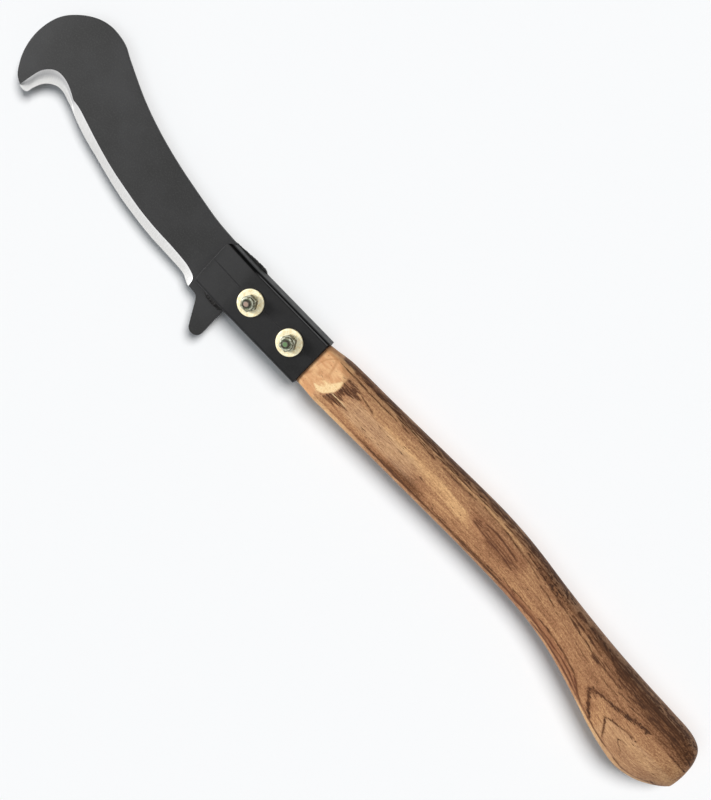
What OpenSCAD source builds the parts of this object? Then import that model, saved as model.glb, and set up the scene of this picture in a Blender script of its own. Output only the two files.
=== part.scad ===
// Brush axe: a hooked blade welded into a folded steel socket on a curved wooden handle.
// Inside the modules x runs from the socket's mouth to the hook, y from the socket's
// centreline to the cutting edge and z up from the blade's middle plane to the nuts.

/* [Blade] */
// Thickness of the blade plate
blade_t = 3; // [2:0.5:4]
// Reach of the blade from the socket's front end to the outside of the hook
blade_reach = 210.5; // [195:0.5:225]
// Length of blade plate that lies inside the socket
blade_tail = 29.5; // [24:0.5:30]
// Reach of the spur's tip from the centreline
spur_reach = 52.3; // [46:0.1:58]
// Radius of the spur's round tip
spur_r = 6; // [4:0.5:7]

/* [Socket] */
// Length of the socket
socket_len = 104; // [100:1:110]
// Width of the socket outside
socket_w = 40.5; // [38:0.5:44]
// Depth of the socket outside, front to back
socket_depth = 15.5; // [13:0.5:18]
// How much the front face comes down at the blade's end
nose_drop = 3; // [1:0.5:4]
// Thickness of the sheet
sheet_t = 2; // [1.5:0.25:2.5]
// Outside radius of the folds
fold_r = 3; // [2.75:0.25:4]
// Radius of the corners at the blade's end, seen from the front
nose_r = 5; // [2:0.5:8]

/* [Handle] */
// Length of the handle behind the socket's mouth
handle_len = 392.5; // [360:0.5:430]
// Thickness of the grip
grip_t = 26; // [22:0.5:30]
// Thickness of the knob at the butt
knob_t = 34; // [30:0.5:40]
// Slope of the flats cut on the handle in front of the socket's mouth
ramp_angle = 14; // [10:1:20]

/* [Fasteners] */
// Distance of the rear bolt from the socket's mouth
bolt_setback = 21.5; // [18:0.5:24]
// Distance between the two bolts
bolt_pitch = 40; // [36:0.5:40]
// Diameter of the bolts
bolt_d = 6.35; // [6:0.05:6.4]
// Length of the bolts under the head
bolt_len = 28.6; // [28:0.2:32]
// Width across flats of the bolt heads and nuts
hex_af = 11.1; // [10:0.1:12]
// Height of the lock nuts with their collar
nut_h = 7.9; // [7.5:0.1:8.5]
// Outside diameter of the washers
washer_d = 20.5; // [16:0.5:24]
// Thickness of the washers
washer_t = 1.6; // [1.2:0.1:2]

/* [Hidden] */
$fn = 48;

half_w = socket_w / 2;
back_z = -blade_t / 2 - sheet_t;
front_z = back_z + socket_depth;
// The socket keeps its full depth up to the blade's rear edge
taper_x = socket_len - blade_tail - 0.5;
hole_r = 3.5;
bolt_aft_x = bolt_setback;
bolt_fore_x = bolt_setback + bolt_pitch;
// Butt seam in the front face, drawn as a groove a little off the centreline
seam_y = -2.5;
seam_w = 0.6;
seam_depth = 0.35;

// Spine and back of the hook, as distance in front of the socket and offset from the centreline
spine_pts = [[0, -half_w], [18, -21.5], [37, -24.5], [66, -30], [93, -37], [118, -46],
    [143, -58], [153, -63.3], [162, -65.5], [171, -65.8], [180, -63.7], [189, -59],
    [198, -51.5], [204, -44], [208, -35], [210.2, -25], [210.5, -15.5], [209, -6], [206, 2],
    [201.5, 9.5]];
spine_len = 210.5;
// Where the grinding starts on the face, in the hook and along the straight edge
hook_ground = [[195.4, 13.4], [194, 8.5], [192.8, 4], [190, -4.5], [186, -10], [181.5, -13.3],
    [176.5, -14.5], [170.5, -13.9], [164, -11.5], [156.8, -7.5]];
edge_ground = [[156.8, -7.5], [148, -6], [133.5, -1.3], [118, 3.5], [101, 8], [84, 11.3],
    [66, 14.3], [48, 15.9], [31, 16.4], [16, 17.4], [9, 18.8], [4.3, 20.6], [2.2, 23.4],
    [1.4, 28.2]];
// The cutting edge itself, one point for each point above
hook_edge = [[195.8, 14.4], [192, 15], [188.3, 13.6], [186.6, 8.5], [183, 1.5], [178.5, -3],
    [173, -5.6], [167.5, -5.9], [161, -4], [153.5, -1.3]];
main_edge = [[153.5, -1.3], [145.5, 2.2], [131.5, 7], [115.8, 11], [99.2, 15.3], [82.6, 18.9],
    [65, 21.5], [47.5, 23.3], [30.8, 23.8], [15.6, 24.4], [10, 25.3], [6.5, 27.1], [4, 28.4],
    [2, 29.1]];
curve_steps = 3;

// Notch between the cutting edge and the spur
notch_y = 28.8;
notch_r = 5;
spur_lean = 28;
spur_c = [spur_r - blade_tail, spur_reach - spur_r];
notch_rise = spur_c[1] - notch_y - notch_r;
notch_x = spur_c[0] + (spur_r + notch_r + notch_rise * sin(spur_lean)) / cos(spur_lean);
notch_c = [notch_x, notch_y + notch_r];

// Wooden tongue inside the socket
tongue_gap = 0.2;
tongue_half_w = half_w - sheet_t - tongue_gap;
tongue_half_t = socket_depth / 2 - sheet_t - tongue_gap;
tongue_end = taper_x - 0.5;
tongue_root = 2;
shoulder = 0.4;
mouth_gap = 0.3;
handle_z = (front_z + back_z) / 2;

// Sides and half thickness of the handle against the distance behind the mouth
spine_side = [[0, -18.2], [12, -19.6], [25, -21.2], [60, -22], [110, -23.5], [165, -24.9],
    [190, -24.2], [212, -22.2], [240, -18.5], [268, -15.3], [297, -12.7], [330, -10.9],
    [358, -10], [372, -9.4], [381, -7.4], [387, -3.6], [391, 4], [392.5, 11]];
belly_side = [[0, 18.2], [12, 18.2], [25, 18.8], [60, 18.2], [110, 17.4], [165, 16.5],
    [212, 16.9], [240, 19], [268, 24.2], [297, 32.6], [325, 41.6], [340, 45.4], [355, 47.6],
    [366, 46], [375, 42.8], [383, 38], [389, 33.5], [392.5, 30]];
grip_half = grip_t / 2;
knob_half = knob_t / 2;
half_thick = [[0, grip_half], [200, grip_half], [240, grip_half - 0.8], [280, grip_half + 0.6],
    [320, knob_half - 1.4], [350, knob_half], [365, knob_half - 0.6], [375, knob_half - 2.2],
    [383, knob_half - 4.8], [388, knob_half - 7.4], [391, knob_half - 10], [392.5, knob_half - 12]];
table_len = 392.5;
stations = concat([mouth_gap], [for (d = [5:5:35]) d], [for (d = [50:12.5:350]) d],
    [357, 363, 369, 374, 378.5, 382.5, 386, 389, 391, 392.5]);
section_sides = 28;
mouth_power = 6;
grip_power = 2.2;
power_run = 30;

// Moves the assembly to its frame: middle of the box in x and y, lowest point at z = 0.
// The smooth outline swings a little past its outermost points.
spine_reach = 65.95;
hook_bulge = 0.1;
frame_x = (handle_len - socket_len - blade_reach - hook_bulge) / 2;
frame_y = (spine_reach - spur_reach) / 2;
frame_z = knob_half - handle_z;

module placed() {
    translate([frame_x, frame_y, frame_z]) children();
}

// Point on the smooth curve that passes through b and c
function spline(a, b, c, d, t) = 0.5 * (2 * b + (c - a) * t + (2 * a - 5 * b + 4 * c - d) * t * t
    + (3 * b - a - 3 * c + d) * t * t * t);

// Smooth curve through all points of p, without its last point
function curve(p, steps) = [
    for (i = [0:len(p) - 2])
        for (k = [0:steps - 1])
            spline(p[max(i - 1, 0)], p[i], p[i + 1], p[min(i + 2, len(p) - 1)], k / steps)
];

// Moves outline points in front of the socket, stretched to the wanted reach
function on_blade(p) = [
    for (q = p)
        [socket_len + (q[0] > 0 ? q[0] * blade_reach / spine_len : q[0]), q[1]]
];

function arc(c, r, from, to, steps) = [
    for (i = [0:steps])
        let (a = from + (to - from) * i / steps)
        [c[0] + r * cos(a), c[1] + r * sin(a)]
];

// Value at x of the smooth line through the points of a table
function table_slope(p, i) = let (a = p[max(i - 1, 0)], b = p[min(i + 1, len(p) - 1)])
    (b[1] - a[1]) / (b[0] - a[0]);
function table_span(p, i, x) = let (h = p[i + 1][0] - p[i][0], t = (x - p[i][0]) / h)
    (1 + 2 * t) * (1 - t) * (1 - t) * p[i][1] + t * (1 - t) * (1 - t) * h * table_slope(p, i)
    + t * t * (3 - 2 * t) * p[i + 1][1] + t * t * (t - 1) * h * table_slope(p, i + 1);
function table(p, x, i = 0) = i >= len(p) - 2 || x <= p[i + 1][0]
    ? table_span(p, i, x) : table(p, x, i + 1);

// Outline of the blade plate up to where the grinding starts, and its cutting edge
ground_line = on_blade(concat(curve(hook_ground, curve_steps), curve(edge_ground, curve_steps),
    [edge_ground[len(edge_ground) - 1]]));
edge_line = on_blade(concat(curve(hook_edge, curve_steps), curve(main_edge, curve_steps),
    [main_edge[len(main_edge) - 1]]));
spine_line = on_blade(concat([[-blade_tail, -half_w]],
    curve(concat(spine_pts, [hook_ground[0]]), curve_steps)));
spur_line = on_blade(concat(arc(notch_c, notch_r, 270, 180 + spur_lean, 5),
    arc(spur_c, spur_r, spur_lean, 180, 12)));
plate = concat(spine_line, ground_line, spur_line);

// Triangles that fill the plate between its points i and j, worked from the tail to the hook's
// tip along both sides at once, always over the shorter diagonal
function fill(i, j) = i + 1 >= j ? [] : norm(plate[i + 1] - plate[j]) < norm(plate[i] - plate[j - 1])
    ? concat([[i, i + 1, j]], fill(i + 1, j)) : concat([[i, j - 1, j]], fill(i, j - 1));

module blade_solid() {
    n = len(plate);
    m = len(ground_line);
    first = len(spine_line);
    last = first + m - 1;
    half = blade_t / 2;
    points = concat([for (p = plate) [p[0], p[1], half]], [for (p = plate) [p[0], p[1], -half]],
        [for (p = edge_line) [p[0], p[1], 0]]);
    filling = fill(0, n - 1);
    face_top = [for (t = filling) [t[2], t[1], t[0]]];
    face_bottom = [for (t = filling) [n + t[0], n + t[1], n + t[2]]];
    side = [for (i = [0:n - 1]) if (i < first || i >= last) let (k = (i + 1) % n) each [
        [i, k, n + k], [i, n + k, n + i]]];
    ground_top = [for (i = [0:m - 2]) each [
        [first + i, first + i + 1, 2 * n + i + 1], [first + i, 2 * n + i + 1, 2 * n + i]]];
    ground_back = [for (i = [0:m - 2]) each [
        [n + first + i, 2 * n + i, 2 * n + i + 1], [n + first + i, 2 * n + i + 1, n + first + i + 1]]];
    ends = [[first, 2 * n, n + first], [last, n + last, 2 * n + m - 1]];
    polyhedron(points, concat(face_top, face_bottom, side, ground_top, ground_back, ends));
}

module blade() {
    color("#3c3c3c") placed() blade_solid();
}

// Rectangle with round corners, from low to high and centred across
module rounded(w, low, high, r) {
    translate([-w / 2 + r, low]) square([w - 2 * r, high - low]);
    translate([-w / 2, low + r]) square([w, high - low - 2 * r]);
    for (y = [-w / 2 + r, w / 2 - r])
        for (z = [low + r, high - r])
            translate([y, z]) circle(r);
}

// Extrudes a cross-section along x, from one station to another
module along_x(from, to) {
    translate([from, 0, 0]) rotate([90, 0, 90]) linear_extrude(to - from) children();
}

// Body of the socket, smaller all round by inset; its front face comes down to the blade's end
module socket_body(inset, from, to) {
    w = socket_w - 2 * inset;
    r = fold_r - inset;
    high = front_z - inset;
    slope = atan(nose_drop / (socket_len - taper_x));
    deep = 40;
    longer = 10;
    intersection() {
        along_x(from, to) rounded(w, back_z + inset, high, r);
        translate([taper_x, 0, high]) rotate([0, slope, 0])
            along_x(from - taper_x - longer, to - taper_x + longer) rounded(w, -deep, 0, r);
    }
}

// What a round corner leaves of a square one, standing at z = 0
module corner_waste(r, h) {
    over = 1;
    difference() {
        cube([r + over, r + over, h]);
        translate([0, 0, -over]) cylinder(h = h + 2 * over, r = r);
    }
}

module socket() {
    slot = blade_tail;
    over = 1;
    tall = socket_depth + 2 * over;
    color("#333333") placed() difference() {
        socket_body(0, 0, socket_len);
        socket_body(sheet_t, -over, socket_len + over);
        for (side = [0, 1])
            mirror([0, side, 0]) translate([socket_len - nose_r, half_w - nose_r, back_z - over])
                corner_waste(nose_r, tall);
        translate([socket_len - slot, -half_w - over, -blade_t / 2])
            cube([slot + over, socket_w + 2 * over, blade_t]);
        translate([-over, seam_y - seam_w / 2, front_z - seam_depth])
            cube([taper_x, seam_w, seam_depth + over]);
        for (x = [bolt_aft_x, bolt_fore_x])
            translate([x, 0, back_z - over]) cylinder(h = tall, r = hole_r);
    }
}

// Row of overlapping drops of weld metal along the socket's edge, clear of the socket and the
// blade; start and end are distances behind the socket's front end
module weld_row(start, end, y, z, r, pitch) {
    count = round((start - end) / pitch);
    smaller = 0.93;
    longer = 10;
    x = socket_len - start;
    difference() {
        for (i = [0:count])
            translate([x + (start - end) * i / count, y, z]) sphere(r * (i % 2 == 0 ? 1 : smaller));
        along_x(x - longer, socket_len + longer) rounded(socket_w, back_z, front_z, fold_r);
        translate([socket_len - blade_tail, -half_w, -blade_t / 2])
            cube([blade_tail + longer, half_w + notch_y, blade_t]);
    }
}

module weld_spine() {
    sunk = 1.4;
    low = 0.4;
    color("#2b2b2b") placed()
        weld_row(start = 35, end = 5, y = sunk - half_w, z = -low, r = 2.7, pitch = 2.5);
}

module weld_belly_front() {
    proud = 0.6;
    color("#2b2b2b") placed() weld_row(start = 28, end = 9, y = half_w + proud,
        z = blade_t / 2 + proud, r = 2.8, pitch = 2.4);
}

module weld_belly_back() {
    proud = 0.3;
    low = 0.5;
    color("#2b2b2b") placed() weld_row(start = 27, end = 9, y = half_w + proud,
        z = -blade_t / 2 - low, r = 1.8, pitch = 2);
}

// Ring of the handle at a distance behind the mouth, flattened near the socket
function handle_ring(d) = let (
    k = d * table_len / handle_len,
    lo = table(spine_side, k),
    hi = table(belly_side, k),
    thick = table(half_thick, k),
    flat = tongue_half_t + shoulder + d * tan(ramp_angle),
    blend = min(1, d / power_run),
    power = mouth_power + (grip_power - mouth_power) * blend * (2 - blend))
    [for (j = [0:section_sides - 1])
        let (a = 360 * j / section_sides, c = cos(a), s = sin(a))
        [-d, (lo + hi) / 2 + (hi - lo) / 2 * sign(c) * pow(abs(c), 2 / power),
            handle_z + max(-flat, min(flat, thick * sign(s) * pow(abs(s), 2 / power)))]];

module handle_loft() {
    n = section_sides;
    rings = [for (d = stations) handle_ring(d * handle_len / table_len)];
    last = (len(rings) - 1) * n;
    mid_mouth = len(rings) * n;
    mid_butt = mid_mouth + 1;
    butt = rings[len(rings) - 1];
    skin = [for (i = [0:n:last - n]) for (j = [0:n - 1]) each [
        [i + j, i + n + (j + 1) % n, i + n + j], [i + j, i + (j + 1) % n, i + n + (j + 1) % n]]];
    caps = [for (j = [0:n - 1]) each [
        [mid_mouth, (j + 1) % n, j], [mid_butt, last + j, last + (j + 1) % n]]];
    middles = [(rings[0][0] + rings[0][n / 2]) / 2, (butt[0] + butt[n / 2]) / 2];
    polyhedron(concat([for (ring = rings) each ring], middles), concat(skin, caps));
}

module handle() {
    color("#b8844f") placed() difference() {
        union() {
            handle_loft();
            along_x(-tongue_root, tongue_end) rounded(2 * tongue_half_w,
                handle_z - tongue_half_t, handle_z + tongue_half_t, fold_r - sheet_t);
        }
        for (x = [bolt_aft_x, bolt_fore_x])
            translate([x, 0, back_z]) cylinder(h = socket_depth, r = hole_r);
    }
}

// Hexagonal prism standing at z = 0 with its corners turned off at the marked ends
module hex_prism(h, turn_low, turn_high) {
    flat_r = hex_af / 2;
    corner_r = flat_r / cos(30);
    rise = (corner_r - flat_r) * tan(30);
    intersection() {
        cylinder(h = h, r = corner_r, $fn = 6);
        rotate_extrude()
            polygon([[0, 0], [turn_low ? flat_r : corner_r, 0], [corner_r, turn_low ? rise : 0],
                [corner_r, turn_high ? h - rise : h], [turn_high ? flat_r : corner_r, h], [0, h]]);
    }
}

module bolt(x) {
    head_h = 4.1;
    point = 0.7;
    root = 1;
    under_head = back_z - washer_t;
    translate([x, 0, under_head]) {
        translate([0, 0, -head_h]) hex_prism(head_h, true, false);
        rotate_extrude()
            polygon([[0, -root], [bolt_d / 2, -root], [bolt_d / 2, bolt_len - point],
                [bolt_d / 2 - point, bolt_len], [0, bolt_len]]);
    }
}

module bolt_fore() {
    color("#b9b39a") placed() bolt(bolt_fore_x);
}

module bolt_aft() {
    color("#b9b39a") placed() bolt(bolt_aft_x);
}

module washer(x, z) {
    over = 1;
    translate([x, 0, z]) difference() {
        cylinder(h = washer_t, d = washer_d);
        translate([0, 0, -over]) cylinder(h = washer_t + 2 * over, r = hole_r);
    }
}

module nut_washer_fore() {
    color("#dccf9c") placed() washer(bolt_fore_x, front_z);
}

module nut_washer_aft() {
    color("#dccf9c") placed() washer(bolt_aft_x, front_z);
}

module head_washer_fore() {
    color("#dccf9c") placed() washer(bolt_fore_x, back_z - washer_t);
}

module head_washer_aft() {
    color("#dccf9c") placed() washer(bolt_aft_x, back_z - washer_t);
}

// Sizes shared by the lock nut and the nylon ring in its collar
nut_bore_r = bolt_d / 2 + 0.03;
collar_h = 2.5;
hex_h = nut_h - collar_h;
ring_r = 4.3;
ring_low = hex_h - 0.2;
ring_high = nut_h - 0.7;

module lock_nut(x) {
    collar_r = 5.1;
    rim_r = 0.9;
    lip_r = 3.7;
    over = 1;
    translate([x, 0, front_z + washer_t]) difference() {
        union() {
            hex_prism(hex_h, true, true);
            rotate_extrude()
                polygon(concat([[0, hex_h - over], [collar_r, hex_h - over]],
                    arc([collar_r - rim_r, nut_h - rim_r], rim_r, 0, 90, 3), [[0, nut_h]]));
        }
        rotate_extrude()
            polygon([[0, -over], [nut_bore_r, -over], [nut_bore_r, ring_low], [ring_r, ring_low],
                [ring_r, ring_high], [lip_r, ring_high], [lip_r, nut_h + over], [0, nut_h + over]]);
    }
}

module lock_nut_fore() {
    color("#c9c6b4") placed() lock_nut(bolt_fore_x);
}

module lock_nut_aft() {
    color("#c9c6b4") placed() lock_nut(bolt_aft_x);
}

module nut_insert(x) {
    play = 0.05;
    over = 1;
    h = ring_high - ring_low - 2 * play;
    translate([x, 0, front_z + washer_t + ring_low + play]) difference() {
        cylinder(h = h, r = ring_r - play);
        translate([0, 0, -over]) cylinder(h = h + 2 * over, r = nut_bore_r);
    }
}

module nut_insert_fore() {
    color("#5d8f63") placed() nut_insert(bolt_fore_x);
}

module nut_insert_aft() {
    color("#5d8f63") placed() nut_insert(bolt_aft_x);
}

blade();
socket();
weld_spine();
weld_belly_front();
weld_belly_back();
handle();
bolt_fore();
bolt_aft();
nut_washer_fore();
nut_washer_aft();
head_washer_fore();
head_washer_aft();
lock_nut_fore();
lock_nut_aft();
nut_insert_fore();
nut_insert_aft();
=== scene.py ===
import math

import bmesh
import bpy
import numpy as np
from mathutils import Matrix, Vector


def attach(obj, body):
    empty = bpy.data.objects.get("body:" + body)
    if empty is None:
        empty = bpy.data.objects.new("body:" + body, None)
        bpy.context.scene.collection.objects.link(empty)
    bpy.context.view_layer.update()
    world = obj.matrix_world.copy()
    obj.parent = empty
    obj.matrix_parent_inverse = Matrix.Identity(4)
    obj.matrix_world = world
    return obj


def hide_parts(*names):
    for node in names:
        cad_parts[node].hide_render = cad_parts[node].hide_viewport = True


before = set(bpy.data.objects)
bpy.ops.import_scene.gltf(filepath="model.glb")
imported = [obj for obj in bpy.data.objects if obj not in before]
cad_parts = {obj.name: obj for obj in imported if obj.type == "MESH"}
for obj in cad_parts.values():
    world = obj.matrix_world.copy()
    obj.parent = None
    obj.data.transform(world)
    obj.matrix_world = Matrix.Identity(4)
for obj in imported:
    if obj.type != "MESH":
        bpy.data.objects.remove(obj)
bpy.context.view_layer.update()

MM = 0.001
# Place of the socket's mouth, on its centreline and the blade's middle plane, in millimetres
MOUTH = np.array([38.95, 6.825, 12.75])

SOCKET_LEN = 104.0
SOCKET_W = 40.5
HALF_W = SOCKET_W / 2
BACK_Z = -3.5
FRONT_Z = 12.0
SHEET = 2.0
FOLD_R = 3.0
NOSE_R = 5.0
NOSE_DROP = 3.0
TAPER_X = 74.0
BLADE_HALF = 1.5
TAIL = 29.5
BOLTS = {"aft": 21.5, "fore": 61.5}
WASHER_T = 1.6
WASHER_R = 10.25
WASHER_BORE_R = 3.5
BOLT_R = 3.175
BOLT_LEN = 28.6
BOLT_END_R = 1.6
HEAD_H = 4.1
HEX_FLATS = 11.1
THREAD_FROM = 14.0
THREAD_PITCH = 1.27
THREAD_DEPTH = 0.55
HANDLE_LEN = 392.5
HANDLE_Z = 4.25
KNOB_HALF = 17.0
GRIP_HALF = 13.0


# Helpers for shapes

NOISE_CELLS = 64


def catmull(points, steps):
    """Smooth curve through all points, with its last point."""
    p = np.array(points, float)
    n = len(p)
    out = []
    for i in range(n - 1):
        a, b, c, d = p[max(i - 1, 0)], p[i], p[i + 1], p[min(i + 2, n - 1)]
        for k in range(steps):
            t = k / steps
            out.append(0.5 * (2 * b + (c - a) * t + (2 * a - 5 * b + 4 * c - d) * t * t
                              + (3 * b - a - 3 * c + d) * t ** 3))
    out.append(p[-1])
    return np.array(out)


def arc(c, r, start, end, steps):
    a = np.radians(np.linspace(start, end, steps + 1))
    return np.stack([c[0] + r * np.cos(a), c[1] + r * np.sin(a)], 1)


def table(points, x):
    """Smooth line through the points of a table, at all values of x."""
    p = np.array(points, float)
    px, py = p[:, 0], p[:, 1]
    n = len(p)
    lo = np.maximum(np.arange(n) - 1, 0)
    hi = np.minimum(np.arange(n) + 1, n - 1)
    slope = (py[hi] - py[lo]) / (px[hi] - px[lo])
    x = np.asarray(x, float)
    i = np.clip(np.searchsorted(px, x, side="left") - 1, 0, n - 2)
    h = px[i + 1] - px[i]
    t = (x - px[i]) / h
    return ((1 + 2 * t) * (1 - t) ** 2 * py[i] + t * (1 - t) ** 2 * h * slope[i]
            + t * t * (3 - 2 * t) * py[i + 1] + t * t * (t - 1) * h * slope[i + 1])


def smooth(lo, hi, x):
    t = np.clip((x - lo) / (hi - lo), 0, 1)
    return t * t * (3 - 2 * t)


def span(x, rise, full, fall, gone):
    """1 between full and fall, going down to 0 at rise and at gone."""
    return smooth(rise, full, x) * smooth(gone, fall, x)


def noise2(x, y, seed):
    """Smooth value noise from 0 to 1 that repeats after NOISE_CELLS cells."""
    n = NOISE_CELLS
    grid = np.random.default_rng(seed).random((n, n))
    xi, yi = np.floor(x).astype(int), np.floor(y).astype(int)
    u, v = x - xi, y - yi
    u, v = u * u * (3 - 2 * u), v * v * (3 - 2 * v)
    a = grid[xi % n, yi % n]
    b = grid[(xi + 1) % n, yi % n]
    c = grid[xi % n, (yi + 1) % n]
    d = grid[(xi + 1) % n, (yi + 1) % n]
    return a * (1 - u) * (1 - v) + b * u * (1 - v) + c * (1 - u) * v + d * u * v


def around(sides):
    """Angles of the points of a ring."""
    return [2 * math.pi * j / sides for j in range(sides)]


def build(name, verts, faces, node, material, sharp):
    """New piece for a node, from points in millimetres from the socket's mouth."""
    mesh = bpy.data.meshes.new(name)
    points = (np.asarray(verts, float) + MOUTH) * MM
    mesh.from_pydata(points.tolist(), [], [tuple(int(i) for i in f) for f in faces])
    mesh.update()
    bm = bmesh.new()
    bm.from_mesh(mesh)
    bmesh.ops.recalc_face_normals(bm, faces=bm.faces)
    bm.to_mesh(mesh)
    bm.free()
    mesh.polygons.foreach_set("use_smooth", [True] * len(mesh.polygons))
    mesh.set_sharp_from_angle(angle=math.radians(sharp))
    mesh.materials.append(material)
    obj = bpy.data.objects.new(name, mesh)
    bpy.context.scene.collection.objects.link(obj)
    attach(obj, "root")
    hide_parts(node)
    return obj


def grid_faces(rows, cols, wrap_rows=False, wrap_cols=True):
    faces = []
    for i in range(rows if wrap_rows else rows - 1):
        for j in range(cols if wrap_cols else cols - 1):
            i2, j2 = (i + 1) % rows, (j + 1) % cols
            faces.append((i * cols + j, i2 * cols + j, i2 * cols + j2, i * cols + j2))
    return faces


def closed_faces(rows, cols):
    """Sides of a stack of rings, and a face at both ends."""
    faces = grid_faces(rows, cols)
    faces.append(tuple(range(cols)))
    faces.append(tuple(range((rows - 1) * cols, rows * cols)))
    return faces


def attribute(obj, name, values):
    """Stores one number or one vector at each point of a piece."""
    values = np.asarray(values, np.float32)
    kind = "FLOAT_VECTOR" if values.ndim == 2 else "FLOAT"
    layer = obj.data.attributes.new(name, kind, "POINT")
    layer.data.foreach_set("vector" if values.ndim == 2 else "value", values.ravel())


# Helpers for materials

class Mat:
    """A material whose nodes are added one call at a time."""

    def __init__(self, name):
        self.m = bpy.data.materials.new(name)
        self.m.use_nodes = True
        self.t = self.m.node_tree
        self.t.nodes.clear()
        self.s = self.node("BsdfPrincipled")
        self.node("OutputMaterial", Surface=self.s.outputs[0])

    def node(self, kind, **values):
        """New node of a kind, with values for its inputs by name."""
        n = self.t.nodes.new("ShaderNode" + kind)
        self.fill(n, values)
        return n

    def fill(self, n, values):
        for key, value in values.items():
            self.put(n.inputs[key.replace("_", " ")], value)

    def put(self, socket, value):
        if isinstance(value, bpy.types.NodeSocket):
            self.t.links.new(value, socket)
        elif value is not None:
            socket.default_value = value

    def set(self, **values):
        """Values or links for the shader's own sockets, by name."""
        self.fill(self.s, values)

    def coords(self):
        return self.node("TexCoord").outputs["Object"]

    def attr(self, name, output="Fac"):
        n = self.node("Attribute")
        n.attribute_name = name
        return n.outputs[output]

    def noise(self, vector, scale, detail, rough, distort=0):
        return self.node("TexNoise", Vector=vector, Scale=scale, Detail=detail, Roughness=rough,
                         Distortion=distort).outputs["Fac"]

    def grain(self, along, across, detail, rough, distort=0):
        """Noise in the wood's own coordinates, with one scale along the grain and one across."""
        n = self.node("Mapping", Vector=self.attr("grain", "Vector"),
                      Scale=(along, across, across))
        return self.noise(n.outputs[0], 1, detail, rough, distort)

    def math(self, op, a, b, c=None):
        n = self.node("Math")
        n.operation = op
        for socket, value in zip(n.inputs, (a, b, c)):
            self.put(socket, value)
        return n.outputs[0]

    def range(self, value, lo, hi, to_lo=0, to_hi=1):
        n = self.node("MapRange", Value=value, From_Min=lo, From_Max=hi, To_Min=to_lo, To_Max=to_hi)
        n.interpolation_type = "SMOOTHSTEP"
        return n.outputs["Result"]

    def mix(self, fac, a, b):
        """Mixed colour; inputs 6 and 7 and output 2 are the node's colour sockets."""
        n = self.node("Mix", Factor=fac)
        n.data_type = "RGBA"
        self.put(n.inputs[6], a)
        self.put(n.inputs[7], b)
        return n.outputs[2]

    def ramp(self, value, stops):
        n = self.node("ValToRGB", Fac=value)
        e = n.color_ramp.elements
        while len(e) < len(stops):
            e.new(0.5)
        for item, (pos, colour) in zip(e, stops):
            item.position = pos
            item.color = colour
        return n.outputs[0]

    def bump(self, height, strength, distance):
        n = self.node("Bump", Height=height, Strength=strength, Distance=distance)
        self.set(Normal=n.outputs[0])


def srgb(r, g, b):
    """Colour given as the eye sees it, from 0 to 255."""
    f = [((v / 255 + 0.055) / 1.055) ** 2.4 if v > 10.3 else v / 255 / 12.92 for v in (r, g, b)]
    return (*f, 1.0)


def coat_material(name, tone, rough):
    m = Mat(name)
    c = m.coords()
    mottle = m.noise(c, 260, 4, 0.6)
    cloud = m.noise(c, 24, 3, 0.55)
    grit = m.noise(c, 900, 3, 0.7)
    base = m.mix(m.range(cloud, 0.3, 0.7), srgb(tone - 5, tone - 5, tone - 5),
                 srgb(tone + 5, tone + 5, tone + 6))
    base = m.mix(m.range(grit, 0.45, 0.7, 0, 0.5), base, srgb(tone + 14, tone + 14, tone + 13))
    # The sheet's fold on the spine side is painted nearly black, as painted shade for the dark that
    # the bend reflects, and is made glossier
    fold_shade = m.attr("fold_shade")
    dull = m.range(mottle, 0.3, 0.7, rough - 0.05, rough + 0.06)
    m.set(Base_Color=m.mix(fold_shade, base, srgb(5, 5, 5)), Specular_IOR_Level=0.25,
          Roughness=m.math("MULTIPLY_ADD", fold_shade, -0.3, dull))
    m.bump(grit, 0.3, 0.00006)
    return m.m


def washer_material():
    m = Mat("washer_plate")
    c = m.coords()
    patch = m.noise(c, 420, 4, 0.65)
    fine = m.noise(c, 2400, 2, 0.5)
    m.set(Base_Color=m.mix(m.range(patch, 0.42, 0.66), srgb(255, 248, 214), srgb(246, 226, 174)),
          Metallic=0.25, Roughness=m.range(patch, 0.3, 0.7, 0.46, 0.56))
    m.bump(fine, 0.3, 0.00004)
    return m.m


def nut_material():
    """Plated nut, painted bright on top and painted darker down its flats: painted light and shade
    by which way each face turns.
    """
    m = Mat("nut_plate")
    c = m.coords()
    patch = m.noise(c, 520, 4, 0.65)
    split = m.node("SeparateXYZ", Vector=m.node("TexCoord").outputs["Normal"])
    painted_lit_top = m.mix(m.range(patch, 0.38, 0.64), srgb(206, 208, 188), srgb(118, 116, 90))
    painted_shade_flats = m.mix(m.range(patch, 0.35, 0.66), srgb(108, 102, 76), srgb(48, 38, 24))
    # Faces turned up get the bright colour and the flats the dark one: painted light and shade
    m.set(Base_Color=m.mix(m.range(split.outputs["Z"], 0.15, 0.75), painted_shade_flats, painted_lit_top), Metallic=0.3,
          Roughness=m.range(patch, 0.3, 0.7, 0.3, 0.45))
    m.bump(patch, 0.3, 0.00008)
    return m.m


def bolt_material(name, end_colour):
    """Plated bolt; its grooves get painted shade, near black, and the flat of its end has a colour
    of its own.
    """
    m = Mat(name)
    c = m.coords()
    patch = m.noise(c, 620, 3, 0.65)
    plate = m.mix(m.range(patch, 0.35, 0.7), srgb(196, 190, 166), srgb(128, 122, 94))
    # Painted shade in the grooves and round the end
    base = m.mix(m.attr("groove"), plate, srgb(26, 22, 16))
    base = m.mix(m.attr("end"), base, end_colour)
    m.set(Base_Color=base, Metallic=0.2, Roughness=m.range(patch, 0.3, 0.7, 0.36, 0.5))
    m.bump(patch, 0.3, 0.00006)
    return m.m


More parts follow.
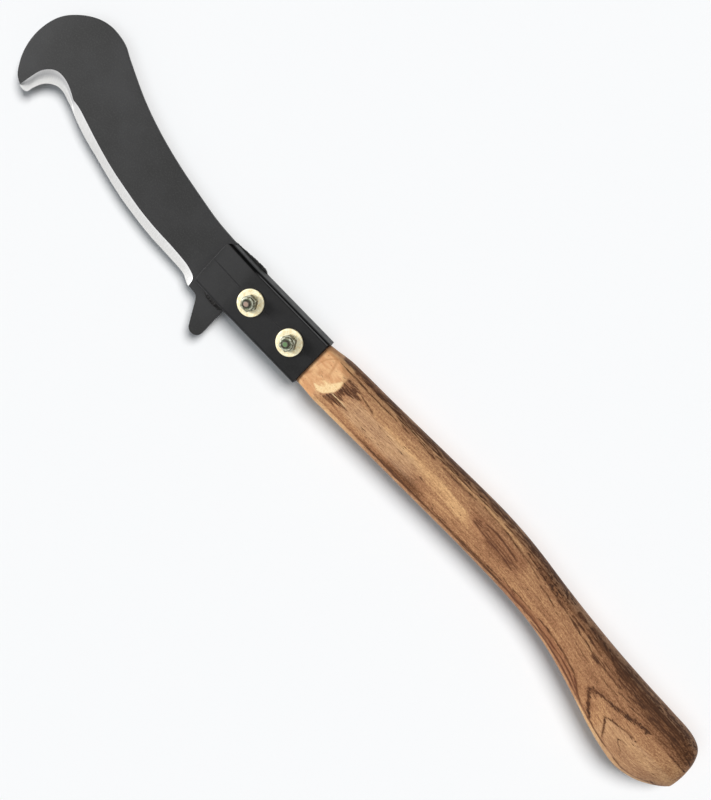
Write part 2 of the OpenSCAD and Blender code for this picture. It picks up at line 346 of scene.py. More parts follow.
blade_coat = coat_material("blade_coat", 42, 0.45)
socket_coat = coat_material("socket_coat", 27, 0.43)
washer_plate = washer_material()
nut_plate = nut_material()
bolt_plates = {"fore": bolt_material("bolt_plate_fore", srgb(160, 136, 122)),
               "aft": bolt_material("bolt_plate_aft", srgb(104, 134, 92))}


def weld_material():
    m = Mat("weld_metal")
    c = m.coords()
    n = m.noise(c, 700, 4, 0.65)
    # The bead is near black, darker than the coat: partly its own colour, partly painted shade of
    # the corner it fills
    m.set(Base_Color=m.mix(m.range(n, 0.4, 0.7), srgb(16, 15, 15), srgb(48, 46, 44)),
          Roughness=m.range(n, 0.3, 0.7, 0.4, 0.6), Specular_IOR_Level=0.25)
    m.bump(n, 0.6, 0.0003)
    return m.m


def ground_material():
    """Bare steel, with fine grinding marks that run across the edge."""
    m = Mat("ground_steel")
    along = m.attr("along")
    across = m.attr("across")
    place = m.node("CombineXYZ", X=m.math("MULTIPLY", along, 2.6),
                   Y=m.math("MULTIPLY", across, 1.3))
    lines = m.noise(place.outputs[0], 1, 4, 0.7)
    hollow = m.attr("hollow")
    # Across the face: a painted highlight along the upper ridge, and painted shade across the
    # hollow of the hook's grind
    tone = m.ramp(across, [(0, srgb(252, 252, 252)), (0.1, srgb(232, 232, 232)),
                           (0.3, srgb(194, 194, 196)), (0.62, srgb(220, 220, 218)),
                           (1, srgb(232, 231, 228))])
    plain = m.ramp(across, [(0, srgb(244, 244, 244)), (0.2, srgb(228, 228, 227)),
                            (1, srgb(220, 219, 217))])
    base = m.mix(hollow, plain, tone)
    base = m.mix(m.range(along, 60, 225, 0.48, 0), base, srgb(120, 120, 120))
    m.set(Base_Color=m.mix(m.range(lines, 0.35, 0.7, 0, 0.3), base, srgb(130, 130, 130)),
          Metallic=0.35, Roughness=m.range(lines, 0.3, 0.7, 0.38, 0.52))
    m.bump(lines, 0.25, 0.00006)
    return m.m


def nylon_material():
    m = Mat("nylon")
    n = m.noise(m.coords(), 900, 2, 0.5)
    m.set(Base_Color=m.mix(m.range(n, 0.3, 0.7), srgb(112, 150, 112), srgb(140, 168, 132)),
          Roughness=0.45, Subsurface_Weight=0.1)
    m.bump(n, 0.2, 0.0001)
    return m.m


weld_metal = weld_material()
ground_steel = ground_material()
nylon = nylon_material()


# Blade

SPINE = [[0, -HALF_W], [18, -21.5], [37, -24.5], [66, -30], [93, -37], [118, -46],
         [143, -58], [153, -63.3], [162, -65.5], [171, -65.8], [180, -63.7], [189, -59],
         [198, -51.5], [204, -44], [208, -35], [210.2, -25], [210.5, -15.5], [209, -6],
         [206, 2], [201.5, 9.5]]
HOOK_GROUND = [[195.4, 13.4], [194, 8.5], [192.8, 4], [190, -4.5], [186, -10], [181.5, -13.3],
               [176.5, -14.5], [170.5, -13.9], [164, -11.5], [156.8, -7.5]]
EDGE_GROUND = [[156.8, -7.5], [148, -6], [133.5, -1.3], [118, 3.5], [101, 8], [84, 11.3],
               [66, 14.3], [48, 15.9], [31, 16.4], [16, 17.4], [9, 18.8], [4.3, 20.6],
               [2.2, 23.4], [1.4, 28.2]]
HOOK_EDGE = [[195.8, 14.4], [192, 15], [188.3, 13.6], [186.6, 8.5], [183, 1.5], [178.5, -3],
             [173, -5.6], [167.5, -5.9], [161, -4], [153.5, -1.3]]
MAIN_EDGE = [[153.5, -1.3], [145.5, 2.2], [131.5, 7], [115.8, 11], [99.2, 15.3], [82.6, 18.9],
             [65, 21.5], [47.5, 23.3], [30.8, 23.8], [15.6, 24.4], [10, 25.3], [6.5, 27.1],
             [4, 28.4], [2, 29.1]]
SPUR_R = 6.0
SPUR_LEAN = 28
NOTCH_R = 5.0
ROUND_EDGE = 0.35
HOOK_HOLLOW = 0.5
EDGE_HOLLOW = 0.1
EDGE_HALF = 0.06
NOTCH_Y = 28.8
SPUR_REACH = 52.3
STEPS = 8


def blade_pieces():
    spur_c = (SPUR_R - TAIL, SPUR_REACH - SPUR_R)
    rise = spur_c[1] - NOTCH_Y - NOTCH_R
    lean = math.radians(SPUR_LEAN)
    notch_x = spur_c[0] + (SPUR_R + NOTCH_R + rise * math.sin(lean)) / math.cos(lean)
    notch_c = (notch_x, NOTCH_Y + NOTCH_R)
    ground = np.vstack([catmull(HOOK_GROUND, STEPS)[:-1], catmull(EDGE_GROUND, STEPS)])
    edge = np.vstack([catmull(HOOK_EDGE, STEPS)[:-1], catmull(MAIN_EDGE, STEPS)])
    spine = np.vstack([[[-TAIL, -HALF_W]], catmull(SPINE + [HOOK_GROUND[0]], STEPS)[:-1]])
    spur = np.vstack([arc(notch_c, NOTCH_R, 270, 180 + SPUR_LEAN, 10),
                      arc(spur_c, SPUR_R, SPUR_LEAN, 180, 24)])
    plate = np.vstack([spine, ground, spur])
    n = len(plate)
    first = len(spine)
    m = len(ground)
    last = first + m - 1
    shift = np.array([SOCKET_LEN, 0])
    flat = plate + shift
    verts = np.vstack([np.column_stack([flat, np.full(n, BLADE_HALF)]),
                       np.column_stack([flat, np.full(n, -BLADE_HALF)])])
    faces = [tuple(range(n)), tuple(range(2 * n - 1, n - 1, -1))]
    for i in range(n):
        if i < first or i >= last:
            j = (i + 1) % n
            faces.append((i, n + i, n + j, j))
    piece = build("blade_plate", verts, faces, "blade", blade_coat, sharp=30)
    round_edge = piece.modifiers.new("edge", "BEVEL")
    round_edge.width = ROUND_EDGE * MM
    round_edge.segments = 3
    round_edge.limit_method = "ANGLE"
    round_edge.angle_limit = math.radians(60)

    # The ground faces, from the plate's flat to the cutting edge, on both sides
    across = 12
    hook_n = STEPS * (len(HOOK_GROUND) - 1)
    hollow = 1 - smooth(hook_n - 3, hook_n + 4, np.arange(m, dtype=float))
    length = np.concatenate([[0], np.cumsum(np.linalg.norm(np.diff(ground, axis=0), axis=1))])
    rows = []
    t = np.linspace(0, 1, across + 1)
    for i in range(m):
        sag = (HOOK_HOLLOW * hollow[i] + EDGE_HOLLOW) * 4 * t * (1 - t)
        z = BLADE_HALF * (1 - t) + EDGE_HALF * t - sag
        xy = ground[i] * (1 - t)[:, None] + edge[i] * t[:, None] + shift
        rows.append(np.column_stack([xy, np.maximum(z, 0.05)]))
    top = np.array(rows).reshape(-1, 3)
    low = top * [1, 1, -1]
    cols = across + 1
    faces = grid_faces(m, cols, wrap_cols=False)
    off = m * cols
    faces += [tuple(off + i for i in f[::-1]) for f in faces]
    rim = [i * cols + across for i in range(m)]
    faces += [(rim[i], rim[i + 1], off + rim[i + 1], off + rim[i]) for i in range(m - 1)]
    for end in (0, m - 1):
        row = [end * cols + j for j in range(cols)]
        faces += [(row[j], row[j + 1], off + row[j + 1], off + row[j]) for j in range(across)]
    piece = build("blade_ground_edge", np.vstack([top, low]), faces, "blade",
                  ground_steel, sharp=25)
    attribute(piece, "along", np.tile(np.repeat(length, cols), 2))
    attribute(piece, "across", np.tile(np.tile(t, m), 2))
    attribute(piece, "hollow", np.tile(np.repeat(hollow, cols), 2))


blade_pieces()


# Socket: one folded sheet, drawn as loops round the sheet's thickness

def socket_piece():
    flat = HALF_W - FOLD_R
    back = BACK_Z + FOLD_R
    front = FRONT_Z - FOLD_R
    quarter = np.linspace(0, 90, 9)
    near = 0.3
    seam_y, seam_half, seam_depth = -2.5, 0.22, 0.15
    # Each point of the cross-section: its place, the outward direction there, and 1 on the front
    section = []

    def add(y, z, ny, nz, up):
        section.append((y, z, ny, nz, up))

    def corner(side, z, angles, up):
        for a in np.radians(angles):
            c, s = math.cos(a), math.sin(a)
            add(side * flat + FOLD_R * c, z + FOLD_R * s, c, s, up)

    for y in [-flat, near - flat, *np.linspace(-12, 12, 7), flat - near, flat]:
        add(y, BACK_Z, 0, -1, 0)
    corner(1, back, quarter[1:] - 90, 0)
    add(HALF_W, back + near, 1, 0, 0)
    add(HALF_W, front - near, 1, 0, 1)
    corner(1, front, quarter, 1)
    for y in (flat - near, 10, 3):
        add(y, FRONT_Z, 0, 1, 1)
    for k, z in ((2, 0), (1, 0), (0, seam_depth), (-1, 0), (-2, 0)):
        add(seam_y + k * seam_half, FRONT_Z - z, 0, 1, 1)
    for y in (-8, -13, near - flat):
        add(y, FRONT_Z, 0, 1, 1)
    corner(-1, front, quarter + 90, 1)
    add(-HALF_W, front - near, -1, 0, 1)
    add(-HALF_W, back + near, -1, 0, 0)
    corner(-1, back, quarter[:-1] + 180, 0)

    # The loop round the sheet: 1 where the place counts from the blade's end, the place, the depth
    fillet = 0.3
    turn = [(math.sin(a), 1 - math.cos(a)) for a in np.radians([30, 60, 90])]
    back_turn = turn[::-1][1:]
    stations = np.concatenate([[2 * near], np.linspace(0, TAPER_X, 13)[1:],
                               np.linspace(TAPER_X, SOCKET_LEN, 9)[1:-1], [SOCKET_LEN - near]])
    loop = [(0, fillet, 0), *((0, x, 0) for x in stations), (1, -fillet, 0),
            *((1, -fillet * (1 - a), fillet * b) for a, b in turn),
            *((1, -fillet * b, SHEET - fillet * (1 - a)) for a, b in back_turn),
            (1, -fillet, SHEET), *((0, x, SHEET) for x in stations[::-1]), (0, fillet, SHEET),
            *((0, fillet * (1 - a), SHEET - fillet * b) for a, b in turn),
            *((0, fillet * b, fillet * (1 - a)) for a, b in back_turn)]

    verts = []
    fold_shade = []
    for end, x, depth in loop:
        for y, z, ny, nz, up in section:
            over = abs(y) - (HALF_W - NOSE_R)
            reach = SOCKET_LEN if over <= 0 else SOCKET_LEN - NOSE_R + math.sqrt(
                max(NOSE_R ** 2 - min(over, NOSE_R) ** 2, 0))
            px = reach + x if end else x
            if not end and x > TAPER_X:
                px = TAPER_X + (x - TAPER_X) * (reach - TAPER_X) / (SOCKET_LEN - TAPER_X)
            drop = NOSE_DROP * max(px - TAPER_X, 0) / (SOCKET_LEN - TAPER_X) if up else 0
            verts.append((px, y - ny * depth, z - drop - nz * depth))
            # Mask of the painted shade on the front's fold on the spine side
            fold_shade.append(up * smooth(0.05, 0.35, -ny) * smooth(1, 0.95, -ny))
    faces = grid_faces(len(loop), len(section), wrap_rows=True)
    piece = build("socket_sheet", verts, faces, "socket", socket_coat, sharp=50)
    attribute(piece, "fold_shade", fold_shade)


socket_piece()


# Weld beads

BEAD_STEP = 0.35
BEAD_BOW = 1.2
BEAD_RIPPLE = 0.12
BEAD_LUMPS = 0.22


def bead(name, node, x0, x1, y, z, radius, pitch, seed):
    """Rippled bead from x0 to x1 at the socket's side; radius gives its two half widths."""
    rings = int((x1 - x0) / BEAD_STEP)
    sides = 20
    verts = []
    phase = np.random.default_rng(seed).random()
    for i in range(rings + 1):
        x = x0 + (x1 - x0) * i / rings
        ry, rz = radius(x)
        for a in around(sides):
            ripple = abs(math.sin(math.pi * ((x - BEAD_BOW * math.cos(a) ** 2) / pitch + phase)))
            lump = 1 + BEAD_RIPPLE * (ripple ** 0.5 - 0.6)
            wob = noise2(x * 0.45 + 7.3, a * 1.3 + 20, seed) - 0.5
            k = lump * (1 + BEAD_LUMPS * wob)
            verts.append((x, y + ry * k * math.cos(a), z + rz * k * math.sin(a)))
    build(name, verts, closed_faces(rings + 1, sides), node, weld_metal, sharp=60)


def spine_radius(x):
    """Half widths of the bead on the spine side, which thins out towards the blade."""
    k = smooth(66.5, 72.5, x) * (0.42 + 0.58 * smooth(101, 78, x)) * smooth(103, 100, x)
    return 0.3 + 2.3 * k, 0.4 + 2.2 * k


def belly_radius(x):
    """Half widths of the bead on the cutting side, which is thickest by the spur."""
    k = smooth(74.5, 78, x) * (1 - smooth(86, 101, x))
    return 0.3 + 4.5 * k, 0.3 + 2.7 * k


bead("weld_bead_spine", "weld_spine", 67, 102.5, y=0.9 - HALF_W, z=-0.4,
     radius=spine_radius, pitch=2.6, seed=5)
bead("weld_bead_belly", "weld_belly_front", 75, 101, y=HALF_W + 0.2, z=BLADE_HALF + 0.2,
     radius=belly_radius, pitch=2.3, seed=8)
bead("weld_bead_belly_back", "weld_belly_back", 76, 97, y=HALF_W + 0.2, z=-BLADE_HALF - 0.2,
     radius=lambda x: (2.2 * smooth(76, 78, x), 1.6 * smooth(97, 94, x)), pitch=2.1, seed=11)


# Fasteners

def washer(name, node, x, z):
    """Stamped washer, with its upper outer edge rolled over by the die."""
    outer, inner, t = WASHER_R, WASHER_BORE_R, WASHER_T
    e = 0.28
    profile = [(inner, e), (inner + e * 0.3, e * 0.3), (inner + e, 0), (outer - e, 0),
               (outer - e * 0.3, e * 0.3), (outer, e), (outer, t - 0.5), (outer - 0.2, t - 0.15),
               (outer - 0.6, t), (outer - 1.5, t), (inner + 0.4, t), (inner, t - 0.3)]
    sides = 64
    verts = []
    for r, h in profile:
        for a in around(sides):
            verts.append((x + r * math.cos(a), r * math.sin(a), z + h))
    faces = grid_faces(len(profile), sides, wrap_rows=True)
    build(name, verts, faces, node, washer_plate, sharp=35)


def bolt_thread(side, x, under):
    """Shank with a rolled thread; its grooves and a ring round the flat of its end get painted
    shade.
    """
    sides = 48
    verts, groove, end = [], [], []
    heights = np.arange(0, BOLT_LEN - 0.05, THREAD_PITCH / 8)
    heights = np.concatenate([heights, [BOLT_LEN - 0.5, BOLT_LEN - 0.02, BOLT_LEN]])
    for h in heights:
        for a in around(sides):
            saw = abs(((h / THREAD_PITCH - a / (2 * math.pi)) % 1) * 2 - 1)
            cut = THREAD_DEPTH * (1 - saw) * smooth(THREAD_FROM, THREAD_FROM + 1.5, h)
            chamfer = max(h - BOLT_LEN + 0.9, 0)
            r = BOLT_R - max(cut, chamfer)
            if h > BOLT_LEN - 0.1:
                r = BOLT_END_R + (0.25 if h < BOLT_LEN else 0)
            verts.append((x + r * math.cos(a), r * math.sin(a), under + h))
            # Painted shade: a ring in the last 1.2 mm below the end, and in the thread by the depth
            # of its cut
            ring = BOLT_LEN - 1.2 < h < BOLT_LEN
            groove.append(0.85 if ring else 0.8 * cut / THREAD_DEPTH)
            end.append(1 if h == BOLT_LEN else 0)
    piece = build(f"bolt_{side}_steel_thread", verts, closed_faces(len(heights), sides),
                  f"bolt_{side}", bolt_plates[side], sharp=40)
    attribute(piece, "groove", groove)
    attribute(piece, "end", end)


def bolt_head(side, x, under):
    """Hexagon whose corners are rounded off, most of all at its free face."""
    sides = 72
    sixth = math.pi / 3
    corner = HEX_FLATS / 2 / math.cos(sixth / 2)
    levels = [(0, 0.92), (0.25, 0.97), (0.7, 1), (HEAD_H - 0.15, 1), (HEAD_H, 0.985)]
    verts = []
    for h, k in levels:
        for a in around(sides):
            r = HEX_FLATS / 2 / math.cos((a + sixth / 2) % sixth - sixth / 2)
            r = min(r, corner * k)
            verts.append((x + r * math.cos(a), r * math.sin(a), under - HEAD_H + h))
    piece = build(f"bolt_{side}_steel_head", verts, closed_faces(len(levels), sides),
                  f"bolt_{side}", bolt_plates[side], sharp=25)
    for name in ("groove", "end"):
        attribute(piece, name, np.zeros(len(verts)))


for side, bolt_x in BOLTS.items():
    seat = BACK_Z - WASHER_T
    washer(f"washer_nut_{side}", f"nut_washer_{side}", bolt_x, FRONT_Z)
    washer(f"washer_head_{side}", f"head_washer_{side}", bolt_x, seat)
    bolt_thread(side, bolt_x, seat)
    bolt_head(side, bolt_x, seat)

for node, material in (("lock_nut_fore", nut_plate), ("lock_nut_aft", nut_plate),
                       ("nut_insert_fore", nylon), ("nut_insert_aft", nylon)):
    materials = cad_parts[node].data.materials
    materials.clear()
    materials.append(material)


# Handle

SPINE_SIDE = [[0, -18.2], [12, -19.6], [25, -21.2], [60, -22], [110, -23.5], [165, -24.9],
              [190, -24.2], [212, -22.2], [240, -18.5], [268, -15.3], [297, -12.7],
              [330, -10.9], [358, -10], [372, -9.4], [381, -7.4], [387, -3.6], [391, 4],
              [HANDLE_LEN, 11]]
BELLY_SIDE = [[0, 18.2], [12, 18.2], [25, 18.8], [60, 18.2], [110, 17.4], [165, 16.5],
              [212, 16.9], [240, 19], [268, 24.2], [297, 32.6], [325, 41.6], [340, 45.4],
              [355, 47.6], [366, 46], [375, 42.8], [383, 38], [389, 33.5], [HANDLE_LEN, 30]]
HALF_THICK = [[0, GRIP_HALF], [200, GRIP_HALF], [240, GRIP_HALF - 0.8], [280, GRIP_HALF + 0.6],
              [320, KNOB_HALF - 1.4], [350, KNOB_HALF], [365, KNOB_HALF - 0.6],
              [375, KNOB_HALF - 2.2], [383, KNOB_HALF - 4.8], [388, KNOB_HALF - 7.4],
              [391, KNOB_HALF - 10], [HANDLE_LEN, KNOB_HALF - 12]]
# The sloping flats at the mouth: their slope in degrees, and the half thickness they start from
FLAT_SLOPE = 14
FLAT_FROM = 5.95
FLAT_BLEND = 0.7
MOUTH_EDGE_R = 5.0
SQUARE_POWER = 6
OVAL_POWER = 2.2
# Turn of the growth layers, in degrees, at some distances from the mouth
GRAIN_TWIST = [[0, -7], [78, -6], [173, 3], [240, 5], [320, 6], [HANDLE_LEN, 9]]

# Dark lines in the grain of the front face: half width, strength, how broken the line is, and
# its points as distance behind the socket's mouth and offset from the centreline
STROKES = [
    (0.9, 1, 0.15, [[14, -20.2], [50, -21], [80, -21.8], [110, -23], [150, -24.2], [170, -24.2],
        [200, -23.2], [240, -18.4]]),
    (0.7, 0.9, 0.3, [[38, -19.8], [60, -20], [95, -20.6], [125, -21.4], [150, -22.4], [175, -22.6],
        [200, -21.4], [225, -19]]),
    (0.6, 0.8, 0.4, [[70, -18.9], [95, -19.4], [130, -20.2], [160, -21.2], [185, -20.6],
        [205, -19.6], [235, -15.8]]),
    (1.2, 0.7, 0.4, [[42, -11.8], [50, -10.4], [58, -8.6]]),
    (0.6, 0.9, 0.3, [[15, -17.2], [35, -17], [50, -16.8], [65, -17.2], [73, -16.8]]),
    (0.7, 0.8, 0.2, [[77, -17.6], [85, -17]]),
    (0.7, 0.7, 0.4, [[92, -18.4], [106, -17.6], [130, -17.6], [152, -18.5]]),
    (0.6, 0.6, 0.5, [[100, -19], [130, -18.6], [150, -18]]),
    (0.6, 0.7, 0.4, [[158, -19.2], [175, -18.4], [190, -17], [198, -15.8], [208, -14.6],
        [222, -11.4]]),
    (0.7, 0.9, 0.1, [[186, -17.4], [199, -15.8]]),
    (0.7, 0.8, 0.5, [[203, -18.3], [215, -16.4], [223, -14.4], [236, -11.6], [246, -9.8]]),
    (0.7, 0.9, 0.4, [[225, -9.4], [234, -7.6], [243, -5.4]]),
    (0.5, 0.7, 0.5, [[246, -4.4], [256, -1.8], [263, -0.4], [272, 1.8], [285, 3.8], [295, 4.2],
        [304, 5.4], [318, 6]]),
    (0.8, 0.95, 0.3, [[240, -10.8], [255, -8.4], [265, -6.6], [276, -4.2], [287, -2],
        [293, -0.6]]),
    (0.9, 1, 0.3, [[256, -10], [268, -8.6], [280, -7], [291, -4.8]]),
    (1.6, 1, 0.4, [[258, -13.8], [275, -12.4], [290, -10.6], [300, -9]]),
    (0.6, 0.8, 0.5, [[155, -11.4], [165, -10.6]]),
    (0.8, 0.9, 0.3, [[168, -12.2], [178, -13], [190, -11.2], [202, -9.4]]),
    (0.6, 0.8, 0.3, [[160, -8.6], [176, -7.4], [190, -6.2], [206, -3.8]]),
    (0.6, 0.8, 0.3, [[176, -4], [190, -3.4], [204, -2.4]]),
    (0.6, 0.6, 0.5, [[158, -9.4], [180, -9], [207, -6.6]]),
    (0.6, 0.6, 0.5, [[170, -10.6], [190, -8.2], [206, -5.4]]),
    (0.8, 0.8, 0.4, [[160, -7.6], [172, -5.6], [186, -4.6], [199, -2.9]]),
    (0.7, 0.7, 0.4, [[196, -5.6], [209, -4.6]]),
    (0.5, 0.6, 0.4, [[198, -1.8], [209, -2]]),
    (0.4, 0.6, 0.5, [[76, -4.2], [92, -4], [108, -3.4]]),
    (0.7, 0.9, 0, [[112, -1.2], [118, -1.6]]),
    (0.6, 0.7, 0.6, [[60, 9], [84, 10.6], [108, 10.4]]),
    (0.6, 0.9, 0.4, [[70, 12.8], [80, 12.6], [100, 12.7], [118, 11.8], [133, 11.5]]),
    (0.7, 0.9, 0.2, [[134, 10], [141, 10.4], [148, 11.2], [156, 10.8]]),
    (0.6, 0.8, 0.4, [[160, 10.1], [174, 9.8], [186, 9.6], [200, 8.9]]),
    (0.6, 0.8, 0.5, [[160, 12.4], [175, 12.6], [186, 12.3]]),
    (0.6, 0.8, 0.2, [[204, 6.8], [213, 8.6]]),
    (0.6, 0.9, 0.3, [[214, 7.6], [236, 8.9], [250, 9.4], [262, 11.2], [273, 13.6], [283, 16.4],
        [291, 20]]),
    (0.8, 0.95, 0.3, [[252, 10.2], [266, 11.8], [276, 14.4], [286, 17.8]]),
    (0.9, 0.95, 0.3, [[188, 12.2], [205, 11.8], [222, 12.6], [240, 13.6], [258, 15], [266, 16.2]]),
    (0.8, 0.95, 0.3, [[262, 15.8], [274, 17.6], [284, 20.4], [296, 25.4], [306, 30.6]]),
    (0.8, 0.9, 0.3, [[240, 16.2], [262, 18.4], [280, 22.4], [294, 27.4]]),
    (1, 0.9, 0.4, [[289, 20], [295, 23.6], [300, 28]]),
    (0.9, 1, 0.1, [[300, 18.4], [303, 16], [306, 14.5], [313, 14], [321, 12.9], [327, 11.5],
        [336, 10], [345, 8.6], [353, 7.4]]),
    (0.6, 0.6, 0.4, [[352, 7.5], [362, 7.4], [373, 8.6]]),
    (0.7, 0.9, 0.2, [[372, 8.6], [383, 10.1], [391, 11.8]]),
    (0.5, 0.8, 0.3, [[312, 15.4], [322, 14.2], [334, 12], [342, 10.6]]),
    (0.9, 1, 0.1, [[300, 17], [303, 19.4], [306, 21.8]]),
    (0.6, 0.8, 0.1, [[303, 16.6], [310, 18.8]]),
    (1.3, 1, 0.3, [[305, 21.4], [309, 26], [313, 30], [318, 33.6]]),
    (0.7, 0.8, 0.5, [[316, 33.4], [325, 36.8], [334, 39], [346, 40.8], [360, 42.6]]),
    (0.7, 0.95, 0.2, [[322, 23.4], [327, 21.4], [334, 20.2], [341, 19], [347, 18.8]]),
    (0.4, 0.5, 0.5, [[346, 18.8], [362, 18.6], [380, 20.8], [388, 21.6]]),
    (0.9, 0.95, 0.3, [[323, 23.6], [326, 26.4], [329, 30.4], [333, 36]]),
    (0.6, 0.8, 0.3, [[340, 27.6], [343, 26.2], [348, 25.8]]),
    (0.4, 0.5, 0.5, [[348, 25.8], [366, 25.6], [384, 28.8]]),
    (0.7, 0.8, 0.3, [[340, 27.2], [343, 29.6], [349, 33]]),
    (0.8, 0.9, 0.2, [[379, 33.8], [385, 35.2]]),
    (0.8, 0.9, 0.5, [[285, -11], [305, -8.6], [330, -6.8], [345, -6.6]]),
    (0.8, 1, 0.1, [[330, -6.9], [348, -6.4], [366, -5.8]]),
    (0.7, 0.8, 0.4, [[364, -5.9], [380, -3.4], [388, 0.6]]),
    (0.7, 0.9, 0.4, [[302, -5.2], [318, -4], [336, -3.8], [352, -3.4], [370, -2.8]]),
    (0.6, 0.8, 0.4, [[294, -3.4], [306, -2.2]]),
    (1, 0.95, 0.3, [[284, -1.2], [300, 0], [321, 1.2], [332, -0.6], [338, -1.4]]),
    (1.3, 1, 0.1, [[343, 0.4], [350, -1], [360, -0.2]]),
    (0.7, 0.9, 0.3, [[358, -0.2], [374, 1], [385, 3.6], [390, 6.2]]),
    (0.6, 0.8, 0.3, [[325, 5.4], [338, 3.9], [353, 3.1]]),
    (0.5, 0.5, 0.5, [[353, 3.2], [372, 4], [388, 8]]),
    (0.9, 0.9, 0.5, [[292, -10.8], [320, -9.4], [352, -8.8], [376, -7.6]]),
    (0.7, 0.9, 0.2, [[300, -7], [322, -5.4], [345, -5], [368, -4.6], [384, -1.2]]),
    (0.6, 0.9, 0.3, [[310, -2.2], [330, -2.4], [352, -2.2], [370, -1.2], [386, 2.6]]),
    (0.6, 0.8, 0.3, [[316, 3.4], [335, 2.4], [352, 1.6], [368, 2.4], [387, 6.4]]),
    (0.5, 0.7, 0.3, [[334, 6.8], [355, 5.2], [374, 6.4], [389, 9.8]]),
    (0.5, 0.8, 0.2, [[270, -11], [290, -8.4], [312, -6.4]]),
    (0.5, 0.8, 0.2, [[262, -6.2], [280, -3.2], [298, -1.8]]),
]
# Bands of short pores along the arcs on the knob, given in the same way
PORE_BANDS = [
    (2, 0.8, 0, [[300, 18.4], [303, 16], [306, 14.5], [321, 12.9], [336, 10], [353, 7.4]]),
    (2.2, 0.9, 0, [[301, 18], [305, 21.4], [309, 26], [313, 30], [318, 33.6]]),
    (1.5, 0.7, 0, [[322, 23.4], [327, 21.4], [341, 19], [350, 18.8]]),
    (1.6, 0.7, 0, [[323, 23.6], [326, 26.4], [329, 30.4], [333, 36]]),
    (1.6, 0.7, 0, [[287, 19], [292, 21.6], [296, 25], [300, 28.6]]),
]
# Lines of the same kind on the hidden face
BACK_STROKES = [
    (1.2, 0.9, 0.5, [[8, -15], [120, -19], [200, -18], [290, -8], [385, -2]]),
    (0.8, 0.8, 0.5, [[30, -11], [150, -14], [230, -11], [330, -1], [388, 5]]),
    (0.6, 0.8, 0.4, [[70, -4], [160, -7], [240, -3], [330, 7], [380, 12]]),
    (0.6, 0.8, 0.5, [[20, 4], [130, 1], [220, 2], [300, 12]]),
    (0.8, 0.9, 0.4, [[90, 10], [180, 8], [250, 11], [310, 24], [340, 33]]),
    (0.7, 0.8, 0.2, [[312, 20], [330, 15], [360, 12], [386, 14]]),
    (0.7, 0.8, 0.2, [[312, 20], [318, 25], [328, 32], [340, 38]]),
    (0.6, 0.8, 0.3, [[334, 25], [348, 21], [370, 20]]),
    (0.6, 0.8, 0.3, [[334, 25], [340, 29], [352, 34]]),
    (0.8, 0.9, 0.5, [[290, -11], [330, -8], [380, -6]]),
]
# Edges of growth layers on the sloping flat at the mouth
FLAT_LINES = [
    (0.7, 1, 0, [[1.5, 8.6], [3.4, 5], [5, 2.6]]),
    (0.8, 1, 0, [[3, 1.4], [8, 0], [12, -1.8], [16, -3.4]]),
    (0.7, 1, 0, [[3.6, -4], [6, -10.6], [8.6, -14], [11, -16.4]]),
    (0.8, 0.9, 0, [[12, -16.4], [13.6, -13], [14.6, -9], [15.6, -5]]),
]
# The pale shaving cut below the mouth: its ragged side and its clean side, and where the dark
# pores that it laid open end, as offset and distance
SHAVE_FROM = [[-9, 25.5], [-5, 23], [-2, 21], [-0.5, 19], [1, 14.5], [2, 18.5], [3, 19], [4, 14.5],
              [5, 17.5], [6.5, 14.5], [7.5, 11.5], [8.5, 12.5], [9.5, 16]]
SHAVE_TO = [[-9, 26.5], [-5, 27.5], [0, 26.5], [2, 25], [5, 23], [7.5, 21], [9.5, 17]]
PORES_TO = [[-14, 30], [-12.8, 44], [-11.2, 38], [-9.6, 46], [-8, 43], [-6, 38], [-4, 34],
            [-2, 32], [0, 36.5], [1.2, 34], [3.3, 45], [5, 36], [6.5, 30], [8, 33.5], [9.2, 24]]
# Soft dark spots in the grain: strength, and distance and offset of the middle and of the reach
DARK_SPOTS = [(0.26, (112, 7.5), (12, 5)), (0.09, (70, 0), (8, 3)), (0.16, (94, 8), (12, 4)),
              (0.08, (190, 3), (18, 5)), (0.14, (305, 17.5), (4, 3.5)), (0.14, (311, 26), (5, 5))]
# Distance and offset of the line beyond which the rim on the cutting side is painted paler, a
# painted highlight where the edge catches the light
BELLY_RIM = [[0, 14.5], [100, 14.5], [150, 13.5], [240, 13.5], [252, 18], [268, 22], [283, 26],
             [305, 33], [325, 38.5], [345, 42], [360, 44], [370, 42], [382, 36]]
# What the fields are at the middle of the mouth's end and of the butt, where that isn't 0
END_VALUES = {"dark": (0, 0.3), "tone": (0.2, 0.55), "shaved": (1, 0), "mouth_shade": (1, 0)}


def stroke_field(d, y, strokes, seed):
    """How strongly the lines darken each point, from 0 to 1."""
    total = np.zeros_like(d)
    for k, (half, strength, broken, points) in enumerate(strokes):
        p = np.array(points, float)
        mid = np.interp(d, p[:, 0], p[:, 1])
        drift = 0.5 * (noise2(d / 7 + k * 3.7, 0.5, seed) - 0.5)
        wide = half * (0.6 + 0.8 * noise2(d / 9 + k * 5.3, 2.5, seed))
        part = np.clip(np.searchsorted(p[:, 0], d) - 1, 0, len(p) - 2)
        lean = (np.diff(p[:, 1]) / np.diff(p[:, 0]))[part]
        wide = wide * np.sqrt(1 + lean ** 2)
        gap = smooth(0, 0.25, noise2(d / 11 + k * 7.1, 6.5, seed) + 0.12 - 0.55 * broken)
        ends = span(d, p[0, 0] - 2.5, p[0, 0] + 1.5, p[-1, 0] - 1.5, p[-1, 0] + 2.5)
        here = strength * np.exp(-((y - mid - drift) / wide) ** 2) * gap * ends
        total = np.maximum(total, here)
    return total


